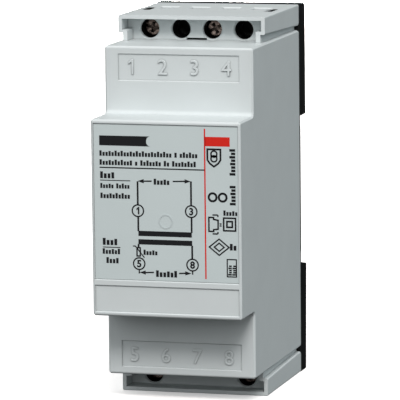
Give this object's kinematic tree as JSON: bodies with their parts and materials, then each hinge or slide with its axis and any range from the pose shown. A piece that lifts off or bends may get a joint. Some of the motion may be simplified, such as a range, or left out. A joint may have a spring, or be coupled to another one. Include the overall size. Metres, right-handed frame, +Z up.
{
  "type": "bell transformer",
  "caption": "Compact bell transformer in a stepped grey housing with a black rail-mount base, screw clamps above and below and a sprung rail latch.",
  "frame": {"origin": "centre of the face that seats on the rail", "axes": "+X to the right seen from the front, +Y from the label to the rail, +Z up"},
  "size_m": [0.035, 0.0599, 0.088],
  "materials": {
    "grey_plastic": "fine satin moulding, light grey",
    "printed_foil": "satin printed foil, light grey",
    "black_plastic": "matt moulding, black",
    "dark_plastic": "matt moulding, black",
    "bobbin_plastic": "matt glass-filled moulding",
    "screw_steel": "yellow-passivated steel",
    "plated_steel": "zinc-plated pressed steel",
    "tinned_brass": "tinned brass strip",
    "spring_steel": "drawn spring wire",
    "core_iron": "varnished electrical sheet",
    "winding_wire": "enamelled copper wire",
    "insulating_tape": "yellow polyester tape",
    "lead_insulation": "sleeved wire",
    "thermistor_coating": "lacquered ceramic disc"
  },
  "bodies": {
    "housing": {"housing_cover": "grey_plastic", "front_label": "printed_foil", "rear_base": "black_plastic", "latch_spring": "spring_steel", "upper_terminal_block": "dark_plastic", "lower_terminal_block": "dark_plastic", "core_e_plates": "core_iron", "core_i_plates": "core_iron", "bobbin": "bobbin_plastic", "secondary_winding": "winding_wire", "primary_winding": "winding_wire", "secondary_tape": "insulating_tape", "primary_tape": "insulating_tape", "secondary_lead_1": "lead_insulation", "secondary_lead_3": "lead_insulation", "primary_lead_5": "lead_insulation", "primary_lead_8": "lead_insulation", "thermistor": "thermistor_coating", "terminal_bar_1": "tinned_brass", "terminal_bar_3": "tinned_brass", "terminal_bar_5": "tinned_brass", "terminal_bar_8": "tinned_brass"},
    "rail_latch": {"rail_latch": "black_plastic"},
    "screw_1": {"terminal_screw_1": "screw_steel"},
    "cage_1": {"terminal_cage_1": "plated_steel"},
    "screw_3": {"terminal_screw_3": "screw_steel"},
    "cage_3": {"terminal_cage_3": "plated_steel"},
    "screw_5": {"terminal_screw_5": "screw_steel"},
    "cage_5": {"terminal_cage_5": "plated_steel"},
    "screw_8": {"terminal_screw_8": "screw_steel"},
    "cage_8": {"terminal_cage_8": "plated_steel"}
  },
  "joints": [
    {"name": "rail_latch_slide", "type": "slide", "parent": "housing", "child": "rail_latch", "axis": [0, 0, -1], "range_m": [0, 0.003], "stiffness_N_per_m": 600, "springref_m": -0.002, "deforming": ["latch_spring"]},
    {"name": "cage_1_lift", "type": "slide", "parent": "housing", "child": "cage_1", "axis": [0, -1, 0], "range_m": [0, 0.0025]},
    {"name": "screw_1_turn", "type": "hinge", "parent": "housing", "child": "screw_1", "pos_m": [-0.01125, -0.024, 0.04055], "axis": [0, 1, 0], "range_deg": [0, 1801]},
    {"name": "cage_3_lift", "type": "slide", "parent": "housing", "child": "cage_3", "axis": [0, -1, 0], "range_m": [0, 0.0025]},
    {"name": "screw_3_turn", "type": "hinge", "parent": "housing", "child": "screw_3", "pos_m": [0.00375, -0.024, 0.04055], "axis": [0, 1, 0], "range_deg": [0, 1801]},
    {"name": "cage_5_lift", "type": "slide", "parent": "housing", "child": "cage_5", "axis": [0, -1, 0], "range_m": [0, 0.0025]},
    {"name": "screw_5_turn", "type": "hinge", "parent": "housing", "child": "screw_5", "pos_m": [-0.01125, -0.024, -0.04055], "axis": [0, 1, 0], "range_deg": [0, 1801]},
    {"name": "cage_8_lift", "type": "slide", "parent": "housing", "child": "cage_8", "axis": [0, -1, 0], "range_m": [0, 0.0025]},
    {"name": "screw_8_turn", "type": "hinge", "parent": "housing", "child": "screw_8", "pos_m": [0.01125, -0.024, -0.04055], "axis": [0, 1, 0], "range_deg": [0, 1801]}
  ],
  "couplings": [
    {"joint": "screw_1_turn", "follows": "cage_1_lift", "rad_per_m": 12566},
    {"joint": "screw_3_turn", "follows": "cage_3_lift", "rad_per_m": 12566},
    {"joint": "screw_5_turn", "follows": "cage_5_lift", "rad_per_m": 12566},
    {"joint": "screw_8_turn", "follows": "cage_8_lift", "rad_per_m": 12566}
  ]
}
